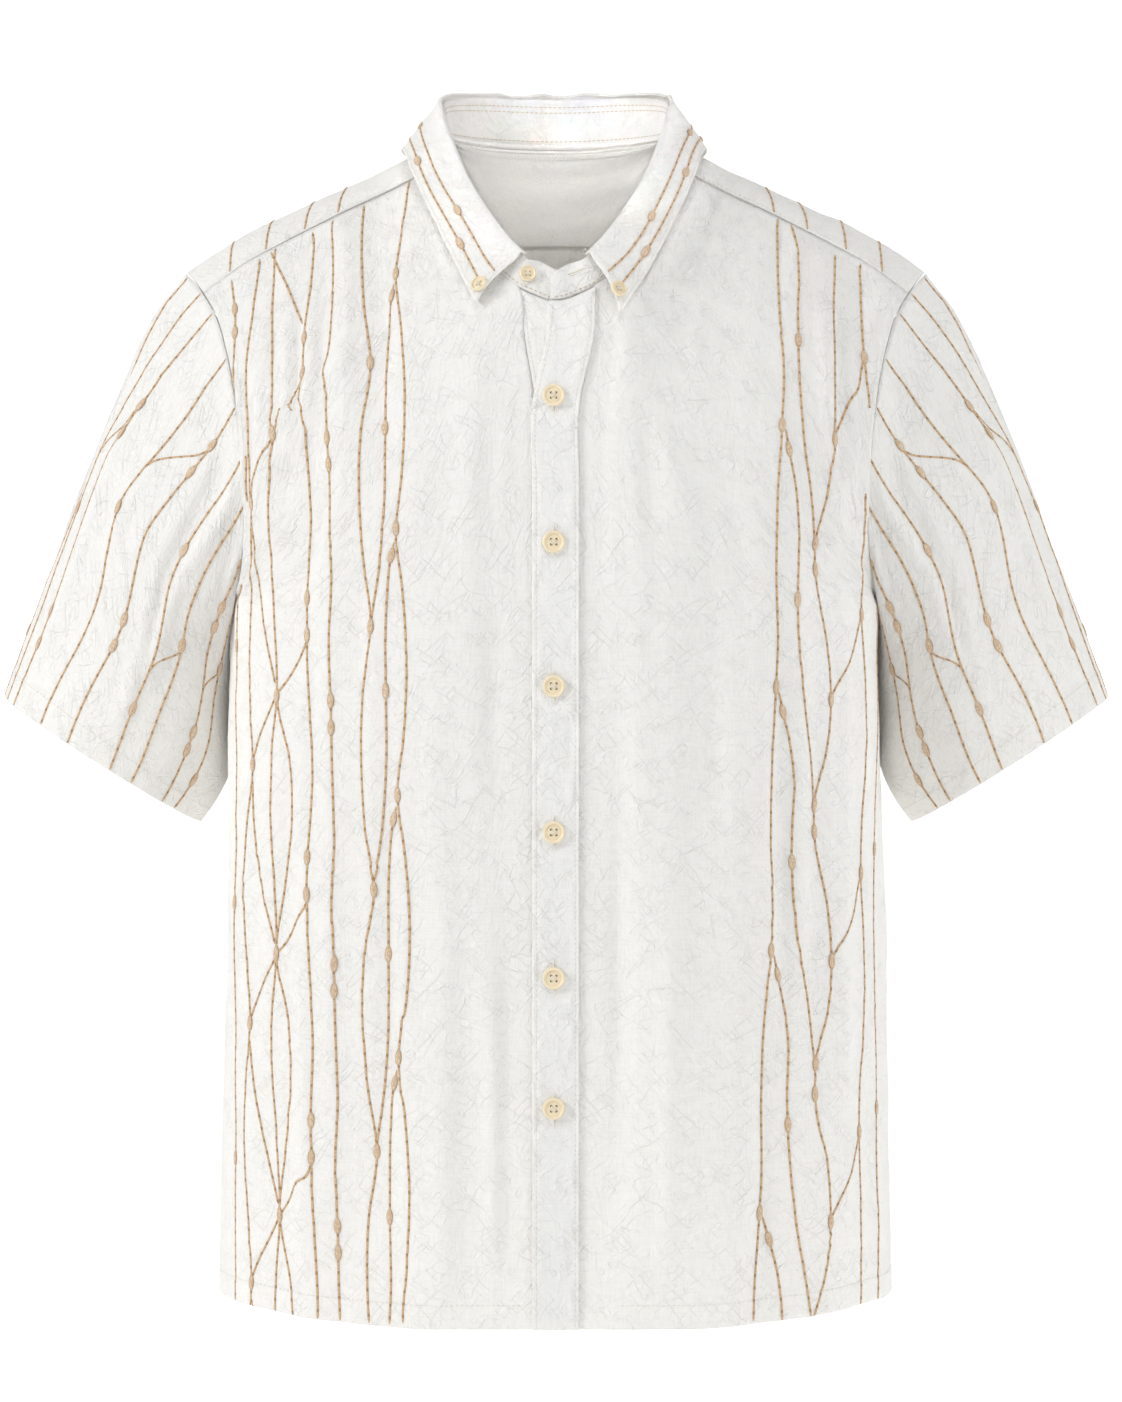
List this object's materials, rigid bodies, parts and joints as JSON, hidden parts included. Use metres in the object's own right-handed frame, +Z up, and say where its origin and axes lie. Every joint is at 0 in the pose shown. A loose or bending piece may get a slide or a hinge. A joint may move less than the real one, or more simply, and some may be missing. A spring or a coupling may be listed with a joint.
{
  "type": "worn short-sleeved embroidered shirt",
  "caption": "Hollow worn shirt with button-down collar, fastened placket, short sleeves and vine embroidery; slips on over a torso",
  "frame": {"origin": "midway between the two points where shoulder line and neck meet, where the wearer's shoulders carry the shirt", "axes": "+Z up, +Y from the front to the back, +X to the wearer's left; the front faces -Y"},
  "size_m": [0.7178, 0.2896, 0.7936],
  "materials": {
    "cloth": "crinkled plain-weave cotton, matte",
    "buttons": "polished cream resin"
  },
  "bodies": {
    "root": {"front_right": "cloth", "front_left": "cloth", "back": "cloth", "yoke": "cloth", "sleeve_right": "cloth", "sleeve_left": "cloth", "collar_stand": "cloth", "collar_leaf": "cloth", "placket_upper": "cloth", "placket_under": "cloth", "neck_tape": "cloth", "button_front_1": "buttons", "button_front_2": "buttons", "button_front_3": "buttons", "button_front_4": "buttons", "button_front_5": "buttons", "button_front_6": "buttons", "button_stand": "buttons", "button_collar_right": "buttons", "button_collar_left": "buttons"}
  },
  "joints": []
}
